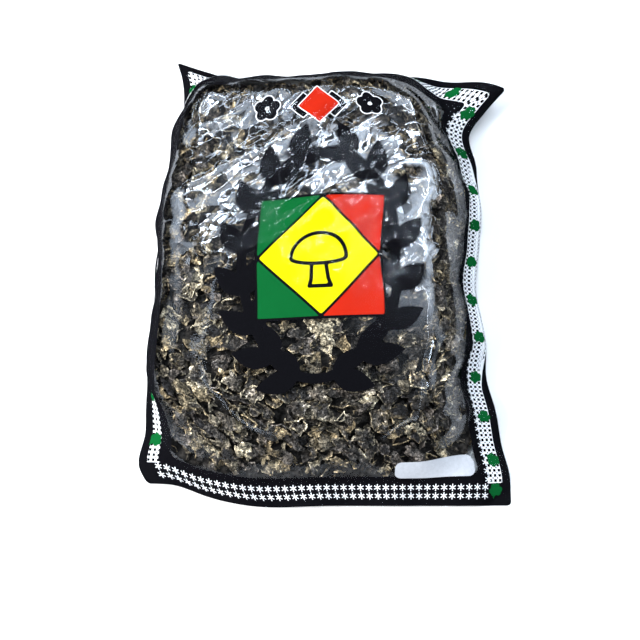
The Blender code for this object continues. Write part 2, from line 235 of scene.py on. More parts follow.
# The photograph's view: the point at its middle, how far off it is taken, and in degrees how steeply it looks
# down and how far it is rolled; its focal length is in pixels of a picture of that width
VIEW_TARGET = (-0.01195, -0.05075, 0.04)
VIEW_DISTANCE = 0.7127
VIEW_ELEVATION = 77.38
VIEW_ROLL = -1.82
FOCAL_PIXELS = 793.9
PICTURE_PIXELS = 640
SENSOR_WIDTH = 36.0

SEED = 5


# ---------------------------------------------------------------- the filled bag

def inside_box(u, v, left, right, bottom, top, corner):
    """How far inside a rectangle with rounded corners a point lies."""
    over_u = np.abs(u - (left + right) / 2) - ((right - left) / 2 - corner)
    over_v = np.abs(v - (bottom + top) / 2) - ((top - bottom) / 2 - corner)
    outside = np.hypot(np.maximum(over_u, 0), np.maximum(over_v, 0))
    return corner - outside - np.minimum(np.maximum(over_u, over_v), 0)


def corner_radius(u):
    return np.interp(u, [FILL_LEFT, FILL_RIGHT], [LEFT_CORNER, RIGHT_CORNER])


def inside_fill(u, v, bottom=FILL_BOTTOM):
    """How far a point of the flat panel lies inside the filling's rounded outline, below 0 outside it."""
    return inside_box(u, v, FILL_LEFT, FILL_RIGHT, bottom, FILL_TOP, corner_radius(u))


def quarter_turn(distance, radius):
    """The rise of a film that starts upright and bends over in a quarter circle, at a distance along it."""
    return radius * np.sin(np.clip(distance / radius, 0, math.pi / 2))


def foot_line(u):
    """The filling's outline at the bottom end: straight, and round at both corners."""
    corner = corner_radius(u)
    from_side = np.clip(np.minimum(u - FILL_LEFT, FILL_RIGHT - u), 0, corner)
    return FILL_BOTTOM + corner - np.sqrt(corner**2 - (corner - from_side) ** 2)


def front_share(u, v):
    """How far the front film has risen beside its seals, from 0 to 1."""
    radius = np.interp(u, [RIGHT_START, FILL_RIGHT], [FRONT_RADIUS, RIGHT_RADIUS])
    beside = quarter_turn(inside_fill(u, v, FILL_BOTTOM - PANEL_LENGTH), radius) / radius
    return beside * quarter_turn(v - foot_line(u), FOOT_RADIUS) / FOOT_RADIUS


def fold_share(v):
    """How far the right margin's outer strip is folded down at places along the bag, from 0 to 1."""
    middle, half = (FOLD_ENDS[0] + FOLD_ENDS[1]) / 2, (FOLD_ENDS[1] - FOLD_ENDS[0]) / 2
    return np.clip((half - np.abs(v - middle)) / FOLD_FADE, 0, 1)


def edge_height(u, v, detail):
    """The height halfway between the two panels, where they are sealed together."""
    height = SEAL_HEIGHT - DROOP * np.maximum(-inside_fill(u, v), 0)
    height -= FOLD_SLOPE * np.maximum(u - HALF_WIDTH + FOLD_WIDTH, 0) * fold_share(v)
    for (side, end), lift in RAISED_CORNERS.items():
        away = np.hypot(u - side * HALF_WIDTH, v - end * HALF_LENGTH)
        height += lift * np.exp(-((away / RAISED_REACH) ** 2))
    if detail:
        near_side = np.exp(-(HALF_WIDTH - np.abs(u)) / WAVE_REACH)
        near_end = np.exp(-(HALF_LENGTH - np.abs(v)) / WAVE_REACH)
        side_wave = np.sin(2 * math.pi * v / WAVE_LENGTH + np.where(u > 0, 0.6, 2.1))
        end_wave = np.sin(2 * math.pi * u / WAVE_LENGTH + np.where(v > 0, 1.0, 2.9))
        height += WAVE_HEIGHT * (near_side * side_wave + near_end * end_wave)
    return np.maximum(height, FILM_LIFT + SEAL_GAP / 2)


def front_height(u, v, detail=True):
    across = np.clip(1 - ((u - FILL_MIDDLE[0]) / FILL_HALF[0]) ** 2, 0, 1)
    along = np.clip(1 - ((v - FILL_MIDDLE[1]) / FILL_HALF[1]) ** 2, 0, 1)
    flank = FRONT_RADIUS * front_share(u, v)
    return edge_height(u, v, detail) + SEAL_GAP / 2 + flank + CROWN * across * along


def back_height(u, v, detail=True):
    edge = edge_height(u, v, detail) - SEAL_GAP / 2
    return np.maximum(edge - quarter_turn(inside_fill(u, v), 2 * SEAL_HEIGHT), FILM_LIFT)


def run_in(height, places, axis):
    """Where a sheet's points come to lie along one direction, if it keeps its length as it rises."""
    step = places[1] - places[0]
    slope = np.gradient(height, step, axis=axis)
    reach = step * np.sqrt(1 - np.minimum(np.abs(slope), STEEPEST) ** 2)
    reach = (reach + np.roll(reach, 1, axis)) / 2
    run = np.cumsum(reach, axis)
    return run - np.take(run, [len(places) // 2], axis)


def smooth(points, at):
    """A smooth curve through a few (place, value) points, read at places."""
    place, value = np.array(points).T
    slope = np.gradient(value, place)
    k = np.clip(np.searchsorted(place, at, side="right") - 1, 0, len(place) - 2)
    length = place[k + 1] - place[k]
    t = (at - place[k]) / length
    rise = value[k + 1] - value[k]
    first, last = slope[k] * length - rise, rise - slope[k + 1] * length
    return value[k] + t * rise + t * (1 - t) * ((1 - t) * first + t * last)


def between_edges(own, low, high, places, axis):
    """own, with its two edges along axis moved to low and high, and the rest of it between them."""
    share = (places - places[0]) / (places[-1] - places[0])
    share = np.clip((share - FLAT_SHARE) / (1 - 2 * FLAT_SHARE), 0, 1)
    share = np.expand_dims(share, 1 - axis)
    first, last = np.take(own, [0], axis), np.take(own, [-1], axis)
    low, high = np.expand_dims(low, axis), np.expand_dims(high, axis)
    return own + (low - first) * (1 - share) + (high - last) * share


def unit(vectors):
    return vectors / np.maximum(np.linalg.norm(vectors, axis=-1, keepdims=True), 1e-12)


def grid_normals(places):
    """The unit normals of a grid of places, pointing up."""
    return unit(np.cross(np.gradient(places, axis=0), np.gradient(places, axis=1)))


class Sheet:
    """A film panel's surface: a regular grid of places over u and v, read between its points."""

    def __init__(self, u, v, places):
        self.u, self.v, self.places = u, v, places
        self.normals = grid_normals(places)

    def read(self, table, u, v):
        row = (np.asarray(u) - self.u[0]) / (self.u[1] - self.u[0])
        column = (np.asarray(v) - self.v[0]) / (self.v[1] - self.v[0])
        i = np.clip(np.floor(row).astype(int), 0, len(self.u) - 2)
        j = np.clip(np.floor(column).astype(int), 0, len(self.v) - 2)
        a, b = (row - i)[..., None], (column - j)[..., None]
        near = (1 - b) * table[i, j] + b * table[i, j + 1]
        far = (1 - b) * table[i + 1, j] + b * table[i + 1, j + 1]
        return (1 - a) * near + a * far

    def at(self, u, v, lift=0.0):
        """The places that lie a height above the points (u, v), along the sheet's normals."""
        lift = np.asarray(lift)[..., None]
        return self.read(self.places, u, v) + lift * self.read(self.normals, u, v)

    def lifted(self, lift):
        return Sheet(self.u, self.v, self.places + lift * self.normals)

    def refined(self):
        """The sheet with a smooth point between each two of its points."""
        u = np.linspace(self.u[0], self.u[-1], 2 * len(self.u) - 1)
        v = np.linspace(self.v[0], self.v[-1], 2 * len(self.v) - 1)
        return Sheet(u, v, with_midpoints(with_midpoints(self.places, 0), 1))


def panel_grid(sheet):
    """The two places on the flat panel, u and v, of each of a sheet's points."""
    return np.meshgrid(sheet.u, sheet.v, indexing="ij")


def with_midpoints(table, axis):
    """A table with a point added between each two along an axis, on a cubic through the nearest four."""
    table = np.moveaxis(table, axis, 0)
    before = np.concatenate([2 * table[:1] - table[1:2], table[:-2]])
    after = np.concatenate([table[2:], 2 * table[-1:] - table[-2:-1]])
    middle = (9 * (table[:-1] + table[1:]) - before - after) / 16
    out = np.empty((2 * len(table) - 1, *table.shape[1:]))
    out[0::2], out[1::2] = table, middle
    return np.moveaxis(out, 0, axis)


def smoothstep(low, high, x):
    t = np.clip((x - low) / (high - low), 0, 1)
    return t * t * (3 - 2 * t)


def filled_panel(height):
    """A panel on the filled bag with no creases in it."""
    u = np.linspace(-HALF_WIDTH, HALF_WIDTH, CELLS_ACROSS + 1)
    v = np.linspace(-HALF_LENGTH, HALF_LENGTH, CELLS_ALONG + 1)
    grid = np.meshgrid(u, v, indexing="ij")
    broad = height(*grid, detail=False)
    left, right = smooth(LEFT_EDGE, v), smooth(RIGHT_EDGE, v)
    bottom, top = smooth(BOTTOM_EDGE, u), smooth(TOP_EDGE, u)
    x = between_edges(run_in(broad, u, 0), left, right, u, 0)
    y = between_edges(run_in(broad, v, 1), bottom, top, v, 1)
    return Sheet(u, v, np.stack([x, y, height(*grid)], -1))


def centre(*sheets):
    """Moves the sheets together so that their box is centred on the origin."""
    for axis in (0, 1):
        both = np.concatenate([sheet.places[..., axis].ravel() for sheet in sheets])
        middle = (both.min() + both.max()) / 2
        for sheet in sheets:
            sheet.places[..., axis] -= middle


# ---------------------------------------------------------------- creased film

def slackness(u, v):
    """How loose the front film is, from 0 to 1: loose over the upper half and down both sides."""
    upper = smoothstep(-0.055, 0.045, v + 0.02 * np.sin(u / 0.045) - 0.10 * np.abs(u) + 0.012)
    right = smoothstep(0.085, 0.125, u) * smoothstep(-0.19, -0.12, v)
    left = 0.55 * smoothstep(0.115, 0.150, -u)
    return np.clip(np.maximum(np.maximum(upper, 0.9 * right), left), 0, 1)


def facets(u, v, cell, turn, rng):
    """Flat triangular facets between sharp ridges, from 0 to 1: random heights on a bent lattice."""
    x, y = u * math.cos(turn) + v * math.sin(turn), v * math.cos(turn) - u * math.sin(turn)
    bent = [rng.uniform(0, 2 * math.pi) for _ in range(4)]
    x = x + cell * (0.32 * np.sin(y / (1.1 * cell) + bent[0]) + 0.16 * np.sin(y / (0.47 * cell) + bent[1]))
    y = y + cell * (0.32 * np.sin(x / (1.2 * cell) + bent[2]) + 0.16 * np.sin(x / (0.43 * cell) + bent[3]))
    p, q = x / cell - y / cell / math.sqrt(3), 2 * y / cell / math.sqrt(3)
    i, j = np.floor(p).astype(int), np.floor(q).astype(int)
    a, b = p - i, q - j
    i, j = i - i.min(), j - j.min()
    peaks = rng.random((i.max() + 2, j.max() + 2))
    lower = peaks[i, j] * (1 - a - b) + peaks[i + 1, j] * a + peaks[i, j + 1] * b
    upper = peaks[i + 1, j + 1] * (a + b - 1) + peaks[i + 1, j] * (1 - b) + peaks[i, j + 1] * (1 - a)
    return np.where(a + b < 1, lower, upper)


def ripples(u, v, length, rng):
    """A smooth, irregular swell between about -1 and 1."""
    height = np.zeros(u.shape)
    for _ in range(7):
        heading, phase, scale = rng.uniform(0, math.pi), rng.uniform(0, 2 * math.pi), rng.uniform(0.7, 1.5)
        across = u * math.cos(heading) + v * math.sin(heading)
        height += np.sin(2 * math.pi * across / (length * scale) + phase) / 2.6
    return height


def pull(places, first, second, rest, hold_first, hold_second, stiffness):
    """Moves pairs of points towards their distance at rest."""
    a, b = places[first], places[second]
    apart = b - a
    length = np.maximum(np.linalg.norm(apart, axis=-1, keepdims=True), 1e-9)
    move = apart * (1 - rest[..., None] / length) * stiffness
    both = np.maximum(hold_first + hold_second, 1e-9)
    places[first] = a + move * hold_first / both
    places[second] = b - move * hold_second / both


def link_ends(shape, step_u, step_v, parity):
    """The two ends of every other link that goes one way on the grid."""
    rows, columns = np.arange(shape[0]), np.arange(parity, shape[1] - 1, 2)
    if step_u:
        rows = np.arange(parity, shape[0] - 1, 2)
        columns = np.arange(max(0, -step_v), shape[1] - max(0, step_v))
    return np.ix_(rows, columns), np.ix_(rows + step_u, columns + step_v)


def relaxed(base, start, slack, low, high, rounds):
    """A film that keeps its length: the start, settled between low and high above the base sheet."""
    u, v = panel_grid(base)
    free = np.minimum(HALF_WIDTH - np.abs(u), HALF_LENGTH - np.abs(v)) > SEAL_WIDTH
    hold = free[..., None].astype(float)
    places = start.copy()
    flat_u, flat_v = base.u[1] - base.u[0], base.v[1] - base.v[0]
    links = []
    for step_u, step_v, stiffness in ((1, 0, 0.5), (0, 1, 0.5), (1, 1, 0.35), (1, -1, 0.35)):
        for parity in (0, 1):
            first, second = link_ends(u.shape, step_u, step_v, parity)
            flat = math.hypot(step_u * flat_u, step_v * flat_v)
            own = np.linalg.norm(base.places[second] - base.places[first], axis=-1)
            loose = (slack[first] + slack[second]) / 2
            rest = np.maximum(own * (1 + loose), np.minimum(flat, own * (1 + CORNER_SLACK)))
            links.append((first, second, rest, hold[first], hold[second], stiffness))
    for _ in range(rounds):
        for first, second, rest, hold_first, hold_second, stiffness in links:
            pull(places, first, second, rest, hold_first, hold_second, stiffness)
        offset = places - base.places
        out = (offset * base.normals).sum(-1)
        places += (np.clip(out, low, high) - out)[..., None] * base.normals
    return places


def creased_front(base, rng):
    """The front film, folded and creased where it is slack, over the smooth filled shape."""
    u, v = panel_grid(base)
    loose = slackness(u, v)
    filled = smoothstep(-0.002, 0.015, inside_fill(u, v))

    def fold(size, turn):
        return size[0] * facets(u, v, size[1], turn, rng)

    folds = fold(BROAD_FOLDS, 0.4) + fold(FINE_FOLDS, 1.3)
    folds = folds + RIPPLES[0] * ripples(u, v, RIPPLES[1], rng) - FOLD_DROP
    rise = (folds * loose + fold(TAUT_FOLDS, 0.9) * (1 - loose)) * filled
    start = base.places + rise[..., None] * base.normals
    slack = LEAST_SLACK + (MOST_SLACK - LEAST_SLACK) * loose
    high = MOST_ABOVE[0] + MOST_ABOVE[1] * loose * filled
    low = -MOST_BELOW[0] - MOST_BELOW[1] * filled
    places = relaxed(base, start, slack * filled, low, high, RELAX_ROUNDS)
    return Sheet(base.u, base.v, base.places + smoothed(places - base.places))


def smoothed(table):
    """A table with its finest zigzags taken out, and its edges kept."""
    for axis in (0, 1):
        table = np.moveaxis(table, axis, 0)
        inner = (table[:-2] + 2 * table[1:-1] + table[2:]) / 4
        table = np.moveaxis(np.concatenate([table[:1], inner, table[-1:]]), 0, axis)
    return table


def crease_lines(film, base):
    """How sharply the film is creased at its points, from 0 to 1."""
    rise = ((film.places - base.places) * base.normals).sum(-1)
    bend = np.zeros(rise.shape)
    around = rise[2:, 1:-1] + rise[:-2, 1:-1] + rise[1:-1, 2:] + rise[1:-1, :-2]
    bend[1:-1, 1:-1] = 4 * rise[1:-1, 1:-1] - around
    return smoothstep(*CREASE_BEND, smoothed(bend))


def grid_triangles(rows, columns):
    """The triangles of a grid of points, facing up, as numbers of its points."""
    number = np.arange(rows * columns).reshape(rows, columns)
    a, b, c, d = number[:-1, :-1], number[1:, :-1], number[1:, 1:], number[:-1, 1:]
    return np.concatenate([np.stack([a, b, c], -1).reshape(-1, 3), np.stack([a, c, d], -1).reshape(-1, 3)])


def closed(up, rim, count):
    """A closed shell's triangles: those that face up, the same again facing down, and the rim's."""
    after = np.roll(rim, -1)
    side = [np.stack([rim, rim + count, after + count], -1), np.stack([rim, after + count, after], -1)]
    return np.concatenate([up, up[:, ::-1] + count, *side])


# ---------------------------------------------------------------- meshes

def new_object(name, data):
    """An object in the scene."""
    thing = bpy.data.objects.new(name, data)
    bpy.context.scene.collection.objects.link(thing)
    return thing


def make_piece(name, points, triangles, material, slot_name, shares=None, replaces=(), folds=None):
    """A mesh piece with values at its points: numbers, or colours where they are called tint."""
    mesh = bpy.data.meshes.new(name)
    mesh.vertices.add(len(points))
    mesh.vertices.foreach_set("co", np.asarray(points, np.float32).ravel())
    mesh.loops.add(triangles.size)
    mesh.loops.foreach_set("vertex_index", triangles.astype(np.int32).ravel())
    mesh.polygons.add(len(triangles))
    mesh.polygons.foreach_set("loop_start", np.arange(0, triangles.size, 3, dtype=np.int32))
    mesh.update(calc_edges=True)
    mesh.shade_smooth()
    if folds:
        mesh.set_sharp_from_angle(angle=math.radians(folds))
    for key, values in (shares or {}).items():
        kind, field = ("FLOAT_COLOR", "color") if key == "tint" else ("FLOAT", "value")
        attribute = mesh.attributes.new(key, kind, "POINT")
        attribute.data.foreach_set(field, np.asarray(values, np.float32).ravel())
    mesh.materials.append(material)
    piece = new_object(name, mesh)
    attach(piece, "root")
    if replaces:
        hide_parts(*replaces)


# ---------------------------------------------------------------- materials

def new_material(name, colour, roughness, metallic=0.0, alpha=1.0, specular=0.5):
    material = bpy.data.materials.new(name)
    material.use_nodes = True
    sockets = {"Base Color": (*colour, 1.0), "Roughness": roughness, "Metallic": metallic, "Alpha": alpha,
               "Specular IOR Level": specular}
    for key, value in sockets.items():
        material.node_tree.nodes["Principled BSDF"].inputs[key].default_value = value
    return material


class Nodes:
    """The nodes of one material or world, made and joined in short calls."""

    def __init__(self, tree):
        self.tree = tree

    def join(self, value, socket):
        """Sets a socket to a number or colour, or links another node's output to it."""
        if isinstance(value, bpy.types.NodeSocket):
            self.tree.links.new(value, socket)
        else:
            socket.default_value = value

    def add(self, kind, output, inputs, **settings):
        """Makes a node with its settings and its inputs, and gives back one of its outputs."""
        node = self.tree.nodes.new(f"ShaderNode{kind}")
        for key, value in settings.items():
            setattr(node, key, value)
        for key, value in inputs.items():
            self.join(value, node.inputs[key])
        return node.outputs[output]

    def math(self, operation, first, second=0.0):
        return self.add("Math", 0, {0: first, 1: second}, operation=operation)

    def times(self, first, second):
        return self.math("MULTIPLY", first, second)

    def dot(self, first, second):
        return self.add("VectorMath", "Value", {0: first, 1: second}, operation="DOT_PRODUCT")

    def sum(self, first, second):
        return self.add("VectorMath", "Vector", {0: first, 1: second}, operation="ADD")

    def scaled(self, vector, scale):
        return self.add("VectorMath", "Vector", {0: vector, "Scale": scale}, operation="SCALE")

    def ramp(self, value, low, high, first, last, kind="LINEAR"):
        """A value from low to high spread over first to last, and held at both ends."""
        inputs = {"Value": value, "From Min": low, "From Max": high, "To Min": first, "To Max": last}
        return self.add("MapRange", "Result", inputs, interpolation_type=kind)

    def noise(self, place, scale, detail=2.0, roughness=0.5, output="Fac", distortion=0.0):
        inputs = {"Vector": place, "Scale": scale, "Detail": detail, "Roughness": roughness}
        return self.add("TexNoise", output, {**inputs, "Distortion": distortion})

    def drawn(self, place, scale, detail, reach):
        """Places drawn about at random by up to about half of a reach, so that patterns bend."""
        return self.sum(place, self.scaled(self.noise(place, scale, detail, output="Color"), reach))

    def cells(self, place, scale, feature="F1", output="Distance"):
        return self.add("TexVoronoi", output, {"Vector": place, "Scale": scale}, feature=feature)

    def chance(self, place, scale):
        """A random number from 0 to 1 for each cell."""
        return self.dot(self.cells(place, scale, output="Color"), (1, 0, 0))

    def attribute(self, name, output="Fac"):
        return self.add("Attribute", output, {}, attribute_name=name)

    def place(self, output="Object"):
        return self.add("TexCoord", output, {})

    def bump(self, height, distance):
        return self.add("Bump", "Normal", {"Strength": 1.0, "Distance": distance, "Height": height})


def with_nodes(material):
    """A material's nodes, its shader, and the place on the object as a node's output."""
    nodes = Nodes(material.node_tree)
    return nodes, material.node_tree.nodes["Principled BSDF"], nodes.place()


def film_material():
    """Clear glossy film, less glossy where ink backs it, broken into small planes with hair creases between
    where it is slack."""
    material = new_material("bag_film", (0.90, 0.94, 1.0), 0.04, metallic=1.0, alpha=FILM_GLOSS)
    nodes, shader, place = with_nodes(material)
    scuffs = nodes.noise(place, 75.0, 4.0, 0.6)
    slack = nodes.attribute("slack")
    ridges = nodes.cells(nodes.drawn(place, 55.0, 2.0, 0.016), 30.0, "DISTANCE_TO_EDGE")
    ridges = nodes.times(nodes.ramp(ridges, 0.0, 0.034, 1.0, 0.0, "SMOOTHSTEP"), slack)
    ridges = nodes.times(ridges, nodes.ramp(nodes.noise(place, 42.0), 0.46, 0.62, 0.0, 1.0))
    planes = nodes.times(nodes.cells(nodes.drawn(place, 24.0, 1.0, 0.024), 40.0, "DISTANCE_TO_EDGE"), slack)
    height = nodes.math("ADD", nodes.times(ridges, 0.07), planes)
    nodes.join(nodes.bump(height, 0.0009), shader.inputs["Normal"])
    bright = nodes.math("ADD", nodes.attribute("crease"), nodes.times(ridges, 0.6))
    bright = nodes.ramp(bright, 0.0, 1.0, FILM_GLOSS, FILM_GLOSS * (1 + CREASE_GLOSS))
    nodes.join(nodes.times(nodes.attribute("gloss"), bright), shader.inputs["Alpha"])
    rough = nodes.math("ADD", nodes.ramp(scuffs, 0.45, 0.75, 0.035, 0.14), nodes.times(ridges, 0.30))
    nodes.join(rough, shader.inputs["Roughness"])
    return material


def mushroom_material(name, roughness, painted_fold_gain):
    """Dry mushroom skin: each ear's own tint, mottled and crinkled, with small cells each painted at its own
    random brightness as light and shade on the crinkles, and thin fold lines painted lighter or darker by the
    fold gain: painted highlight where it is above 0, painted shade where it is below.
    """
    material = new_material(name, (0.3, 0.25, 0.2), roughness, specular=0.35)
    nodes, shader, place = with_nodes(material)
    drawn = nodes.drawn(place, 180.0, 2.0, 0.0026)
    share = nodes.ramp(nodes.noise(place, 120.0, 3.0, 0.6), 0.35, 0.65, 0.60, 1.30)
    # Painted light and shade on the crinkles: each small cell at its own random brightness
    share = nodes.times(share, nodes.ramp(nodes.chance(drawn, 320.0), 0.0, 1.0, 0.33, 1.55))
    share = nodes.times(share, nodes.ramp(nodes.chance(drawn, 700.0), 0.0, 1.0, 0.12, 2.00))
    # Thin fold lines, painted lighter as highlight or darker as shade by the fold gain
    level = nodes.noise(place, 130.0, 2.0, 0.55, distortion=1.2)
    away = nodes.math("ABSOLUTE", nodes.math("SUBTRACT", level, 0.5))
    share = nodes.times(share, nodes.ramp(away, 0.0, 0.035, 1.0 + painted_fold_gain, 1.0, "SMOOTHSTEP"))
    nodes.join(nodes.scaled(nodes.attribute("tint", "Color"), share), shader.inputs["Base Color"])
    height = nodes.math("ADD", nodes.cells(drawn, 320.0), nodes.times(nodes.cells(drawn, 640.0), 0.45))
    nodes.join(nodes.bump(height, 0.0024), shader.inputs["Normal"])
    return material


def mass_material():
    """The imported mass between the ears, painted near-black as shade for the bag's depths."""
    # Near-black colour: painted shade for the packed mushrooms that lie deep in the bag
    colour = (0.012, 0.011, 0.010)
    material = new_material("packed_mass_painted_shade", colour, 0.9, specular=0.1)
    nodes, shader, place = with_nodes(material)
    share = nodes.ramp(nodes.noise(place, 190.0, 5.0, 0.6), 0.42, 0.72, 0.3, 3.0)
    nodes.join(nodes.scaled(colour, share), shader.inputs["Base Color"])
    nodes.join(nodes.bump(nodes.cells(place, 230.0), 0.0020), shader.inputs["Normal"])
    return material


def make_inks():
    """Inks on the film's inner face, a little uneven, as printed ink is."""
    inks = {}
    for name, colour in INKS.items():
        inks[name] = new_material(f"ink_{name}", colour, 1.0, specular=0.0)
        nodes, shader, place = with_nodes(inks[name])
        share = nodes.ramp(nodes.noise(place, 350.0, 6.0, 0.75), 0.3, 0.7, 0.90, 1.07)
        nodes.join(nodes.scaled(colour, share), shader.inputs["Base Color"])
    return inks


# ---------------------------------------------------------------- mushrooms

TAN_TINTS = np.array([(0.266, 0.209, 0.1254), (0.1938, 0.1596, 0.1026), (0.1292, 0.1102, 0.0798),
                      (0.304, 0.266, 0.19), (0.0912, 0.079, 0.0684)])
DARK_TINTS = np.array([(0.0228, 0.0205, 0.0182), (0.0106, 0.0099, 0.0099), (0.035, 0.0319, 0.0289),
                       (0.0532, 0.0464, 0.038)])


def unit_rings(rings, spokes):
    """A disc's points as shares of its reach and angles: the middle, then ring after ring."""
    share = np.repeat(np.arange(1, rings + 1) / rings, spokes)
    angle = np.tile(np.arange(spokes) * 2 * math.pi / spokes, rings)
    return np.concatenate([[0], share]), np.concatenate([[0], angle])


def disc_triangles(rings, spokes):
    k = np.arange(spokes)
    after = (k + 1) % spokes
    fans = [np.stack([np.zeros(spokes, int), 1 + k, 1 + after], -1)]
    for ring in range(1, rings):
        inner, outer = 1 + (ring - 1) * spokes, 1 + ring * spokes
        fans.append(np.stack([inner + k, outer + k, outer + after], -1))
        fans.append(np.stack([inner + k, outer + after, inner + after], -1))
    return np.concatenate(fans)


def shell_triangles(rings, spokes):
    """A closed shell: a disc facing up, another facing down, and the rim between them."""
    count = 1 + rings * spokes
    return closed(disc_triangles(rings, spokes), count - spokes + np.arange(spokes), count)


def disc_normals(points, rings, spokes):
    """Unit normals of many discs at once, points (n, count, 3)."""
    grid = points[:, 1:].reshape(len(points), rings, spokes, 3)
    outward = np.gradient(np.concatenate([points[:, :1, None].repeat(spokes, 2), grid], 1), axis=1)[:, 1:]
    round_it = np.roll(grid, -1, 2) - np.roll(grid, 1, 2)
    n = np.cross(outward, round_it)
    return unit(np.concatenate([n[:, 0].mean(1)[:, None], n.reshape(len(points), -1, 3)], 1))


def ear_shells(rng, radius, rings, spokes, tilt):
    """Dried ears, each a lobed, curled, crinkled closed shell about its own middle: (n, points, 3), and how
    far each point lies in or out from its neighbours, for painting light and shade on it.
    """
    n = len(radius)
    share, angle = unit_rings(rings, spokes)
    share, angle = share[None], angle[None]

    def spread(size):
        return rng.normal(0, size, (n, 1))

    def between(low, high):
        return rng.uniform(low, high, (n, 1))

    def either():
        return rng.choice([-1, 1], (n, 1))

    outline = np.ones((n, share.shape[1]))
    for k in range(1, 10):
        outline = outline + spread(0.20 / k**0.45) * np.sin(k * angle + between(0, 2 * math.pi))
    outline = np.clip(outline, 0.35, 1.50)
    reach = radius[:, None] * share * outline
    a, b = reach * np.cos(angle), reach * np.sin(angle) * between(0.40, 1.0)
    size = radius[:, None]
    c = spread(0.22) * size * share**2
    for k in range(2, 7):
        height = spread(0.16 / math.sqrt(k)) * size * share**2
        c = c + height * np.sin(k * angle + between(0, 2 * math.pi))
    away_a, away_b = between(0, 0.9), between(0, 0.9)
    for cell, crumple in EAR_CRUMPLES:
        ridges = facets(a + away_a, b + away_b, cell, 0.7, rng) - 0.5
        c = c + between(0.6, 1.2) * crumple * ridges
        a = a + 0.35 * crumple * (facets(a + away_b, b + away_a, cell, 0.2, rng) - 0.5)
        b = b + 0.35 * crumple * (facets(a + away_b, b - away_a, cell, 1.2, rng) - 0.5)
    rim = smoothstep(0.55, 1.0, share)
    c = c + either() * between(0.05, 0.30) * size * rim**2
    # How far each point lies in or out from its neighbours: it sets the light and shade painted on the
    # crumples
    painted_relief = hollows(c, rings, spokes)
    bend = between(0.05, 1.5) / size
    turn = np.clip(a * bend, -1.9, 1.9)
    a, c = np.sin(turn) / bend, c + (1 - np.cos(turn)) / bend * either()
    points = np.stack([a, b, c], -1)
    normals = disc_normals(points, rings, spokes)
    half = between(*EAR_HALF_THICKNESS)[..., None]
    points = np.concatenate([points + half * normals, points - half * normals], 1)
    return turned(points, between(0, 2 * math.pi), spread(tilt), between(0, 2 * math.pi)), painted_relief


def hollows(heights, rings, spokes):
    """How much lower than its neighbours each point of many discs is, from about -1 to 1: it sets the light
    and shade painted on the ears.
    """
    grid = heights[:, 1:].reshape(len(heights), rings, spokes)
    inner = np.concatenate([heights[:, :1, None].repeat(spokes, 2), grid[:, :-1]], 1)
    outer = np.concatenate([grid[:, 1:], 2 * grid[:, -1:] - inner[:, -1:]], 1)
    around = (inner + outer + np.roll(grid, 1, 2) + np.roll(grid, -1, 2)) / 4
    low = np.concatenate([np.zeros((len(heights), 1)), (around - grid).reshape(len(heights), -1)], 1)
    return np.clip(low / HOLLOW_DEPTH, -1, 1)


def turned(points, heading, tilt, spin):
    """Points turned about their third axis, tilted about their first, and turned about the third again."""
    for angle, (i, j) in ((spin, (0, 1)), (tilt, (1, 2)), (heading, (0, 1))):
        c, s = np.cos(angle), np.sin(angle)
        first, second = points[..., i] * c - points[..., j] * s, points[..., i] * s + points[..., j] * c
        points = points.copy()
        points[..., i], points[..., j] = first, second
    return points


def patches(u, v):
    """A slow variation over the bag, from 0 to 1, of how many light ears lie together."""
    wave = np.sin(u / 0.021 + 1.7 * np.sin(v / 0.033)) * np.sin(v / 0.027 + 1.3 * np.sin(u / 0.029 + 0.5))
    return 0.5 + 0.5 * wave


